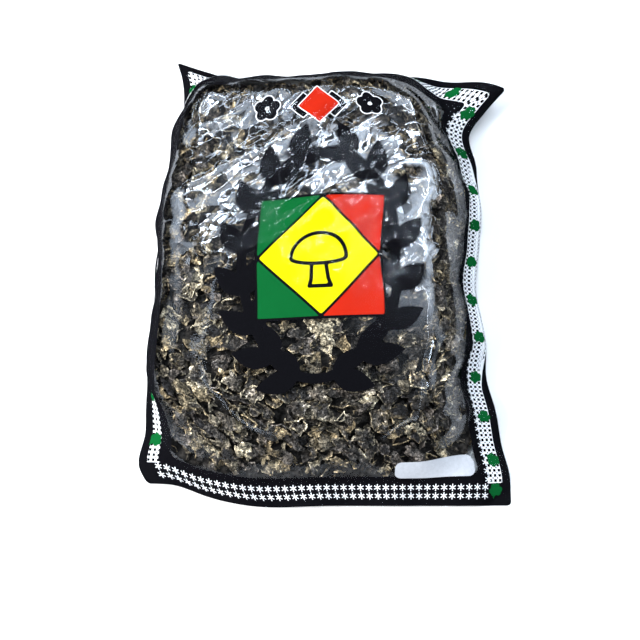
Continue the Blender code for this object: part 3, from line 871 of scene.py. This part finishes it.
def lay_ears(name, sheet, side, rng, u, v, radius, shape, depth, light, materials, replaces=None):
    """Ears laid under a film: the light ones joined to one mesh and the dark ones to another, or each its own
    piece where it replaces a CAD part."""
    rings, spokes, _ = shape
    shells, painted_relief = ear_shells(rng, radius, *shape)
    nearest = shells[..., 2].min(1, keepdims=True)
    deep = shells[..., 2] - nearest + depth[:, None]
    at_u, at_v = kept_inside(u[:, None] + shells[..., 0], v[:, None] + shells[..., 1], 0.002)
    places = sheet.at(at_u, at_v, -side * eased(deep, DEEPEST_SHARE * room_between(at_u, at_v)))
    share, angle = (ring[None, :, None] for ring in unit_rings(rings, spokes))
    tan = TAN_TINTS[rng.integers(0, len(TAN_TINTS), len(u))] * rng.uniform(*TAN_RANGE, (len(u), 1))
    dark = DARK_TINTS[rng.integers(0, len(DARK_TINTS), len(u))] * rng.uniform(*DARK_RANGE, (len(u), 1))
    waves = rng.uniform(0, 2 * math.pi, (2, len(u), 1, 1))
    broken = np.clip(0.55 + 0.5 * np.sin(3 * angle + waves[0]) + 0.4 * np.sin(7 * angle + waves[1]), 0, 1)
    rim = broken * share**RIM_SHARPNESS
    faces = []
    for near, far, up in ((dark, tan * UNDERSIDE_TAN, 1), (tan, dark, -1)):
        own = np.where(light[:, None], near, far)[:, None, :]
        own = own * (1 - rim) + RIM_TINT * tan[:, None, :] * rim
        # Painted light and shade: each face's tint is scaled by how far each point lies in or out from its
        # neighbours
        faces.append(own * np.exp(PAINTED_RELIEF_SHADE * up * painted_relief[..., None]))
    colours = np.concatenate(faces, 1)
    colours = np.concatenate([colours, np.ones_like(colours[..., :1])], -1)
    triangles = shell_triangles(rings, spokes)
    if side > 0:
        triangles = triangles[:, ::-1]
    for kind, chosen in (("light", light), ("dark", ~light)):
        slot_name = "dried_mushroom_tan" if kind == "light" else "dried_mushroom_dark"
        numbers = np.flatnonzero(chosen)
        if replaces:
            for k in numbers:
                make_piece(f"{name}_{k + 1:02d}", places[k], triangles, materials[kind], slot_name,
                           {"tint": colours[k]}, [replaces[k]], SHARP_FOLD)
        else:
            first = (np.arange(len(numbers)) * shells.shape[1])[:, None, None]
            make_piece(f"{name}_{kind}", places[numbers].reshape(-1, 3), (triangles + first).reshape(-1, 3),
                       materials[kind], slot_name, {"tint": colours[numbers]}, folds=SHARP_FOLD)


def eased(deep, room):
    """A depth that stays short of the room there is: beyond 0.6 of it, it grows more and more slowly."""
    slower = room * (1 - 0.4 * np.exp(1.5 - deep / room / 0.4))
    return np.minimum(np.where(deep > 0.6 * room, slower, deep), room)


def room_between(u, v):
    """How far apart the two panels lie, one over the other, at points of the filling."""
    return front_height(u, v, detail=False) - back_height(u, v, detail=False)


def kept_inside(u, v, margin):
    """Points moved in from the edge of the filling, where they lie less than a margin inside it."""
    small = 0.0005
    for _ in range(3):
        short = np.maximum(margin - inside_fill(u, v), 0)
        slope_u = (inside_fill(u + small, v) - inside_fill(u - small, v)) / (2 * small)
        slope_v = (inside_fill(u, v + small) - inside_fill(u, v - small)) / (2 * small)
        u, v = u + short * slope_u, v + short * slope_v
    return u, v


def scattered(rng, spacing, inset):
    """Places over the filling, in jittered rows half a step off."""
    step_v = spacing * 0.87
    found = []
    for row, v in enumerate(np.arange(FILL_BOTTOM, FILL_TOP, step_v)):
        for u in np.arange(FILL_LEFT + (row % 2) * spacing / 2, FILL_RIGHT, spacing):
            found.append((u, v))
    places = np.array(found) + rng.uniform(-0.35, 0.35, (len(found), 2)) * spacing
    return places[inside_fill(*places.T) > inset].T


def make_mushrooms(front, back, rng, materials):
    names = sorted(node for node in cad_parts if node.startswith("mushroom_"))
    names.remove("mushroom_bulk")
    corners = np.array([[list(corner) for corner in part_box(node)] for node in names])
    radius = (corners[:, 1, :2] - corners[:, 0, :2]).mean(1) / 2
    grid = front.places.reshape(-1, 3)
    nearest = np.array([np.argmin(((grid - middle) ** 2).sum(1)) for middle in corners.mean(1)])
    u, v = front.u[nearest // len(front.v)], front.v[nearest % len(front.v)]
    light = rng.random(len(u)) < 0.20 + 0.5 * patches(u, v)
    depth = rng.uniform(*WOOD_EAR_DEPTH, len(u))
    lay_ears("wood_ear", front, 1, rng, u, v, radius, WOOD_EAR_SHAPE, depth, light, materials, names)
    for name, film, spacing, shape, depths, radii in EAR_LAYERS:
        sheet, side = (front, 1) if film == "front" else (back, -1)
        u, v = scattered(rng, spacing, 0.004)
        radius, depth = rng.uniform(*radii, len(u)), rng.uniform(*depths, len(u))
        light = rng.random(len(u)) < 0.15 + 0.5 * patches(u, v)
        lay_ears(name, sheet, side, rng, u, v, radius, shape, depth, light, materials)


def make_mass(front, back, rng, material):
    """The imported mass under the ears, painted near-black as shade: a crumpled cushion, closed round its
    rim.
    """
    p, q = np.meshgrid(*(np.linspace(-1, 1, count) for count in MASS_GRID), indexing="ij")
    u, v = FILL_MIDDLE[0] + (FILL_HALF[0] - MASS_INSET) * p, FILL_MIDDLE[1] + (FILL_HALF[1] - MASS_INSET) * q
    u, v = kept_inside(u, v, MASS_INSET)
    room = room_between(u, v)
    cell, crumple, back_crumple = MASS_CRUMPLES
    above = np.minimum(MASS_DEPTH + crumple * facets(u, v, cell, 0.8, rng), 0.42 * room)
    below = np.minimum(MASS_BACK_DEPTH + back_crumple * facets(u, v, cell, 0.3, rng), 0.30 * room)
    points = np.concatenate([front.at(u, v, -above).reshape(-1, 3), back.at(u, v, below).reshape(-1, 3)])
    number = np.arange(u.size).reshape(u.shape)
    rim = np.concatenate([number[:-1, 0], number[-1, :-1], number[:0:-1, -1], number[0, :0:-1]])
    triangles = closed(grid_triangles(*u.shape), rim, u.size)
    make_piece("packed_mass_painted_shade", points, triangles, material, "dried_mushroom_dark", None, ["mushroom_bulk"])


# ---------------------------------------------------------------- print

def cut_out(sheet, field, lift):
    """The part of a sheet where a field is above 0, its triangles cut along the line where it is 0."""
    triangles, values = grid_triangles(*field.shape), field.ravel()
    inside = values[triangles] > 0
    count = inside.sum(1)
    mixed = np.concatenate([triangles[count == 1], triangles[count == 2]])
    odd_one = np.concatenate([inside[count == 1].argmax(1), inside[count == 2].argmin(1)])
    mixed = np.take_along_axis(mixed, (odd_one[:, None] + np.arange(3)) % 3, 1)
    edges = np.sort(np.concatenate([mixed[:, :2], mixed[:, ::2]]), 1)
    edges, number = np.unique(edges, axis=0, return_inverse=True)
    number = number.reshape(-1) + len(values)
    share = (values[edges[:, 0]] / (values[edges[:, 0]] - values[edges[:, 1]]))[:, None]
    tips, (a, b, c) = (count == 1).sum(), mixed.T
    ab, ac = number[: len(mixed)], number[len(mixed) :]
    faces = [triangles[count == 3], np.stack([a, ab, ac], 1)[:tips]]
    faces += [np.stack([ab, b, c], 1)[tips:], np.stack([ab, c, ac], 1)[tips:]]
    places = sheet.lifted(lift).places.reshape(-1, 3)
    places = np.concatenate([places, places[edges[:, 0]] * (1 - share) + places[edges[:, 1]] * share])
    used, faces = np.unique(np.concatenate(faces), return_inverse=True)
    return places[used], faces.reshape(-1, 3)


def strips(sheet, u, v, heading, length, width, lift, segments):
    """Short straight bars laid on a sheet, each about its own middle."""
    along = np.linspace(-0.5, 0.5, segments + 1)[None, :, None] * length
    across = np.array([-0.5, 0.5])[None, None, :] * width
    c, s = np.cos(heading)[:, None, None], np.sin(heading)[:, None, None]
    at_u = u[:, None, None] + along * c - across * s
    at_v = v[:, None, None] + along * s + across * c
    places = sheet.at(at_u, at_v, lift)
    k = 2 * np.arange(segments)
    one = np.concatenate([np.stack([k, k + 2, k + 3], 1), np.stack([k, k + 3, k + 1], 1)])
    first = (np.arange(len(u)) * 2 * (segments + 1))[:, None, None]
    return places.reshape(-1, 3), (one + first).reshape(-1, 3)


def leaf_field(u, v, foot, heading, length, width):
    """How far inside a pointed leaf a point lies; the leaf grows from its foot along its heading."""
    along = (u - foot[0]) * math.cos(heading) + (v - foot[1]) * math.sin(heading)
    across = (v - foot[1]) * math.cos(heading) - (u - foot[0]) * math.sin(heading)
    share = np.clip(along / length, 0, 1)
    half = 2 * width * share * (1 - share) * (1.25 - 0.5 * share)
    return half - np.abs(across) - np.abs(along - share * length)


def stroke_field(u, v, points, width):
    """How far inside a line of even width, drawn from point to point, a point lies."""
    fields = []
    for (u0, v0), (u1, v1) in zip(points[:-1], points[1:]):
        step_u, step_v = u1 - u0, v1 - v0
        share = ((u - u0) * step_u + (v - v0) * step_v) / (step_u**2 + step_v**2)
        share = np.clip(share, 0, 1)
        fields.append(width / 2 - np.hypot(u - u0 - share * step_u, v - v0 - share * step_v))
    return np.maximum.reduce(fields)


def arc(middle, radius_u, radius_v, start, end, count):
    """Points along an arc of an ellipse, from one angle to another, in degrees."""
    angles = np.radians(np.linspace(start, end, count))
    return [(middle[0] + radius_u * math.cos(t), middle[1] + radius_v * math.sin(t)) for t in angles]


def round_field(u, v, middle, radius):
    """How far inside a circle a point lies."""
    return radius - np.hypot(u - middle[0], v - middle[1])


def clover_field(u, v, middle, size, turn):
    """A clover leaf of three heart-shaped leaflets on a stalk."""
    fields = [round_field(u, v, middle, 0.14 * size)]
    for leaflet in range(3):
        heading = turn + math.pi / 2 + leaflet * 2 * math.pi / 3
        for way in (heading - 0.42, heading + 0.42):
            away = 0.30 * size
            lobe = (middle[0] + away * math.cos(way), middle[1] + away * math.sin(way))
            fields.append(round_field(u, v, lobe, 0.20 * size))
    tip = (middle[0] - 0.62 * size * math.cos(turn + 1.2), middle[1] - 0.62 * size * math.sin(turn + 1.2))
    return np.maximum.reduce([*fields, stroke_field(u, v, [middle, tip], 0.09 * size)])


def border_lines(u, v):
    """How far inside each of the border's lines a point lies, from the outermost to the clear window. The
    window is drawn in at both sides and at the top, where the film is steepest, and the checked band runs out
    towards the edge where the margin is folded down."""
    lines = []
    for k, (inset, at_left, at_bottom) in enumerate(BORDER):
        right, left, top = (DRAWN_IN if k == 3 else (0.0, 0.0, 0.0))
        beside = smoothstep(-0.165, -0.105, v)
        right = right * beside * (1 - 0.8 * smoothstep(0.125, 0.165, v))
        left, top = left * beside, top * (1 - smoothstep(0.065, 0.115, u))
        if k == 1:
            right = right - BAND_AT_FOLD * fold_share(v)
        lines.append(inside_box(u, v, left + at_left - HALF_WIDTH, HALF_WIDTH - inset - right,
                                at_bottom - HALF_LENGTH, HALF_LENGTH - inset - top, 0.004))
    return lines


def band_places(spacing, offset=0.0, shift=0.0):
    """Places along the two sides and the top of the checked band, with the way it runs: (u, v, heading)."""
    across = HALF_WIDTH - BAND_MIDDLE - offset
    along = HALF_LENGTH - BAND_MIDDLE - offset
    places = []
    for v in np.arange(-HALF_LENGTH + BORDER[2][2] + spacing / 2 + shift, along, spacing):
        places += [(-across, v, math.pi / 2), (across, v, math.pi / 2)]
    for u in np.arange(-across + spacing + shift, across, spacing):
        places.append((u, along, 0.0))
    return np.array(places)


def print_border(name, sheet, side, rng, inks):
    """The border's lines, checks, stars and clovers. Gives back how far inside the print each point lies."""
    u, v = panel_grid(sheet)
    outer, band, inner, window = border_lines(u, v)

    def lift(layer):
        return -side * PRINT_STEP * (PRINT_LAYERS - layer)

    bottom_band = np.minimum(-inner, BORDER[2][2] - HALF_LENGTH - v)
    black = np.maximum(np.minimum(outer, -band), np.minimum(inner, -window))
    black = np.maximum(black, np.minimum(np.minimum(band, -inner), bottom_band))
    white = np.minimum(np.minimum(band, -inner), v - BORDER[2][2] + HALF_LENGTH)

    def add(part, ink, shape):
        points, triangles = shape
        make_piece(f"{name}_{part}", points, triangles[:, ::side], inks[ink], "clear_film")

    add("black_lines", "black", cut_out(sheet, black, lift(1)))
    add("white_band", "white", cut_out(sheet, white, lift(1)))
    checks = [("grey", GREY_CHECK, CHECK_STEP / 2, (-0.5, 0.5, -1.5))]
    checks += [("black", BLACK_CHECK, 0.0, (-1, 0, 1, -2))]
    for ink, width, shift, offsets in checks:
        rows = [band_places(CHECK_STEP, offset * CHECK_STEP, shift) for offset in offsets]
        rows[-1] = rows[-1][(rows[-1][:, 0] > 0.15) & (fold_share(rows[-1][:, 1]) > 0.7)]
        add(f"{ink}_checks", ink, strips(sheet, *np.concatenate(rows).T, width, width, lift(2), 1))
    rows = [BORDER[2][2] - HALF_LENGTH - STAR_STEP * (row + 0.42) for row in range(2)]
    middles = [(star_u, star_v) for star_v in rows for star_u in np.arange(-0.155, 0.156, STAR_STEP)]
    beside = HALF_WIDTH - BORDER[2][0] - 0.0008
    middles += [(beside, star_v) for star_v in np.arange(-0.200, 0.190, STAR_STEP)]
    stars = np.array([(*middle, k * math.pi / 3 + 0.5) for middle in middles for k in range(3)])
    add("stars", "white", strips(sheet, *stars.T, *STAR_BAR, lift(2), 4))
    clovers = np.full(u.shape, -1.0)
    middles = [(cu, cv) for cu, cv, _ in band_places(CLOVER_STEP, -0.0012, CLOVER_FIRST)]
    middles += [(HALF_WIDTH - BAND_MIDDLE, BAND_MIDDLE - HALF_LENGTH)]
    for middle in middles:
        near = (np.abs(u - middle[0]) < 0.012) & (np.abs(v - middle[1]) < 0.012)
        field = clover_field(u[near], v[near], middle, CLOVER_SIZE, rng.uniform(-0.6, 0.6))
        clovers[near] = np.maximum(clovers[near], field)
    add("clovers", "green", cut_out(sheet, clovers, lift(3)))
    return np.minimum(outer, -window)


def print_front(sheet, inks):
    """The panel in the middle, a wreath round it, the row of motifs at the top and the blank label."""
    u, v = panel_grid(sheet)
    inked = []

    def add(part, ink, field, layer):
        lift = -PRINT_STEP * (PRINT_LAYERS - layer)
        make_piece(f"print_{part}", *cut_out(sheet, field, lift), inks[ink], "clear_film")
        inked.append(field)

    leaves = []
    for side in (-1, 1):
        for angle in np.arange(-78, 66, 20.5):
            cosine, sine = side * math.cos(math.radians(angle)), math.sin(math.radians(angle))
            foot = (WREATH_MIDDLE[0] + WREATH[0] * cosine, WREATH_MIDDLE[1] + WREATH[1] * sine)
            onward = math.atan2(WREATH[1] * side * cosine, -WREATH[0] * side * sine)
            for turn, length, width in WREATH_LEAVES:
                leaves.append(leaf_field(u, v, foot, onward + side * turn, length, width))
        stem = arc(WREATH_MIDDLE, side * WREATH[0], WREATH[1], -97, 70, 24)
        leaves.append(stroke_field(u, v, stem, WREATH_STEM))
    add("wreath", "black", np.maximum.reduce(leaves), 1)

    x, y = (u - PANEL_MIDDLE[0]) * PANEL_SIZE[1] / PANEL_SIZE[0], v - PANEL_MIDDLE[1]
    half, line = PANEL_SIZE[1] / 2, PANEL_LINE
    square = half - np.maximum(np.abs(x), np.abs(y))
    diamond = (half - np.abs(x) - np.abs(y)) / math.sqrt(2)
    add("panel_ground", "black", square + line, 2)
    add("panel_diamond", "yellow", np.minimum(diamond, square - line / 2) - line / 2, 3)
    corners = np.minimum(square, -diamond - line / 2)
    add("panel_right_corners", "red", np.minimum(corners, x - line / 2), 3)
    add("panel_left_corners", "green", np.minimum(corners, -x - line / 2), 3)
    stalk = [(0.006, -0.008), (0.007, -0.020), (0.009, -0.026)]
    stalk = [(-across, along) for across, along in stalk] + stalk[::-1]
    lines = [arc((0, -0.002), 0.023, 0.021, 0, 180, 20), arc((0, -0.002), 0.023, 0.005, 180, 360, 14), stalk]
    motif = np.maximum.reduce([stroke_field(x, y, points, MOTIF_LINE) for points in lines])
    add("panel_motif", "black", motif, 4)

    middle_u, middle_v = TOP_MOTIFS
    for part, ink, away, size, layer in LOZENGES:
        lozenge = (size - np.abs(u - middle_u - away) - np.abs(v - middle_v)) / math.sqrt(2)
        add(f"{part}_lozenge_rim", "white", lozenge + LOZENGE_RIM, layer - 1)
        add(f"{part}_lozenge", ink, lozenge, layer)
    petals = []
    for away in (-FLOWERS_AWAY, FLOWERS_AWAY):
        middles = arc((middle_u + away, middle_v), PETAL_AWAY, PETAL_AWAY, 90, 378, 5)
        petals += [round_field(u, v, middle, PETAL_RADIUS) for middle in middles]
    flowers = np.maximum.reduce(petals)
    add("top_flowers_rim", "white", flowers + FLOWER_RIM, 1)
    add("top_flowers", "black", flowers, 2)
    add("label", "label", inside_box(u, v, *LABEL, 0.0065), 4)
    return np.maximum.reduce(inked)


# ---------------------------------------------------------------- studio

def aim_camera():
    """The photograph's view: from nearer the bag's lower end, looking steeply down."""
    data = bpy.data.cameras.new("camera")
    data.sensor_width = SENSOR_WIDTH
    data.lens = SENSOR_WIDTH * FOCAL_PIXELS / PICTURE_PIXELS
    camera = new_object("camera", data)
    turn = Matrix.Rotation(math.radians(90 - VIEW_ELEVATION), 4, "X")
    turn = turn @ Matrix.Rotation(math.radians(VIEW_ROLL), 4, "Z")
    camera.matrix_world = Matrix.Translation(VIEW_TARGET) @ turn @ Matrix.Translation((0, 0, VIEW_DISTANCE))
    bpy.context.scene.camera = camera


def area_light(name, place, target, width, height, power, colour=(1, 1, 1)):
    data = bpy.data.lights.new(name, "AREA")
    data.shape = "RECTANGLE"
    data.size, data.size_y = width, height
    data.energy = power
    data.color = colour
    light = new_object(name, data)
    light.location = place
    light.rotation_euler = (Vector(target) - Vector(place)).to_track_quat("-Z", "Y").to_euler()
    return light


def compass(azimuth, elevation):
    """A direction, from its angle round from +X and its angle above level, in degrees."""
    a, e = math.radians(azimuth), math.radians(elevation)
    return math.cos(a) * math.cos(e), math.sin(a) * math.cos(e), math.sin(e)


def make_sky():
    """A dark room with a pale horizon and soft glows and lamps overhead, for the film to mirror."""
    world = bpy.data.worlds.new("studio")
    world.use_nodes = True
    nodes = Nodes(world.node_tree)
    direction = nodes.place("Generated")
    height = nodes.dot(direction, (0, 0, 1))
    total = nodes.scaled((1, 1, 1), nodes.ramp(height, 0.02, 0.40, HORIZON, OVERHEAD, "SMOOTHSTEP"))
    for azimuth, elevation, reach, even, radiance in SKY_LIGHTS:
        edge, top = math.cos(math.radians(reach)), math.cos(math.radians(even))
        toward = nodes.dot(direction, compass(azimuth, elevation))
        share = nodes.ramp(toward, edge, top, 0.0, radiance, "SMOOTHSTEP")
        total = nodes.sum(total, nodes.scaled(SKY_TINT, share))
    for across, width, radiance in SKY_BANDS:
        away = nodes.math("ABSOLUTE", nodes.dot(direction, tuple(Vector(across).normalized())))
        share = nodes.ramp(away, 0.0, width, radiance, 0.0, "SMOOTHSTEP")
        share = nodes.times(share, nodes.ramp(height, 0.45, 0.60, 0.0, 1.0))
        share = nodes.times(share, nodes.ramp(height, 0.93, 0.97, 1.0, 0.0))
        total = nodes.sum(total, nodes.scaled(SKY_TINT, share))
    nodes.join(total, world.node_tree.nodes["Background"].inputs["Color"])
    bpy.context.scene.world = world


def make_studio():
    """A plain pale floor under soft light, and the room that the film mirrors."""
    floor = bpy.data.meshes.new("floor")
    corners = [(x * FLOOR_SIZE / 2, y * FLOOR_SIZE / 2, 0) for x, y in ((-1, -1), (1, -1), (1, 1), (-1, 1))]
    floor.from_pydata(corners, [], [(0, 1, 2, 3)])
    floor.materials.append(new_material("pale_floor", (0.90, 0.90, 0.90), 0.9))
    new_object("floor", floor)
    make_sky()
    key = area_light("key", KEY_PLACE, (0, 0, 0), KEY_SIZE, KEY_SIZE, KEY_POWER)
    key.visible_glossy = False
    for name, (place, width, length, power) in TUBES.items():
        area_light(name, place, (place[0], place[1], 0), width, length, power, TUBE_TINT)
    bpy.context.scene.view_settings.view_transform = "Standard"


# ---------------------------------------------------------------- the bag

def make_film(name, sheet, side, slack, inked, crease, level, material, node):
    """A film panel, glossy where it is slack, level and clear of ink."""
    gloss = 1 - (1 - INKED_GLOSS) * smoothstep(-0.0006, 0.0006, inked)
    gloss = gloss * (TAUT_GLOSS + (1 - TAUT_GLOSS) * slack)
    gloss = gloss * (FLANK_GLOSS + (1 - FLANK_GLOSS) * smoothstep(*FLANK_LEVELS, level))
    triangles = grid_triangles(*slack.shape)[:, ::side]
    shares = {"gloss": gloss, "slack": slack, "crease": crease}
    make_piece(name, sheet.places.reshape(-1, 3), triangles, material, "clear_film", shares, [node])


def main():
    rng = np.random.default_rng(SEED)
    front, back = filled_panel(front_height), filled_panel(back_height)
    centre(front, back)
    film, back_film = creased_front(front.lifted(FILM_OUT), rng).refined(), back.lifted(-FILM_OUT)
    inks = make_inks()
    border = print_border("print_front", film, 1, rng, inks)
    back_border = print_border("print_back", back_film, -1, rng, inks)
    printed = np.maximum(print_front(film, inks), border)
    clear = film_material()
    u, v = panel_grid(film)
    slack = slackness(u, v) * smoothstep(0, 0.02, inside_fill(u, v))
    level = front.read(front.normals, u, v)[..., 2]
    crease = crease_lines(film, front.refined())
    make_film("film_front_panel", film, 1, slack, printed, crease, level, clear, "film_front")
    slack, crease, level = (value * np.ones(back_border.shape) for value in (BACK_SLACK, 0, 1))
    make_film("film_back_panel", back_film, -1, slack, back_border, crease, level, clear, "film_back")
    # Fold lines painted darker as shade on the light ears, lighter as highlight on the dark ears
    materials = {"light": mushroom_material("light_mushroom", 0.85, -0.65)}
    materials["dark"] = mushroom_material("dark_mushroom", 0.55, 2.2)
    make_mushrooms(front, back, rng, materials)
    make_mass(front, back, rng, mass_material())
    make_studio()
    aim_camera()


main()
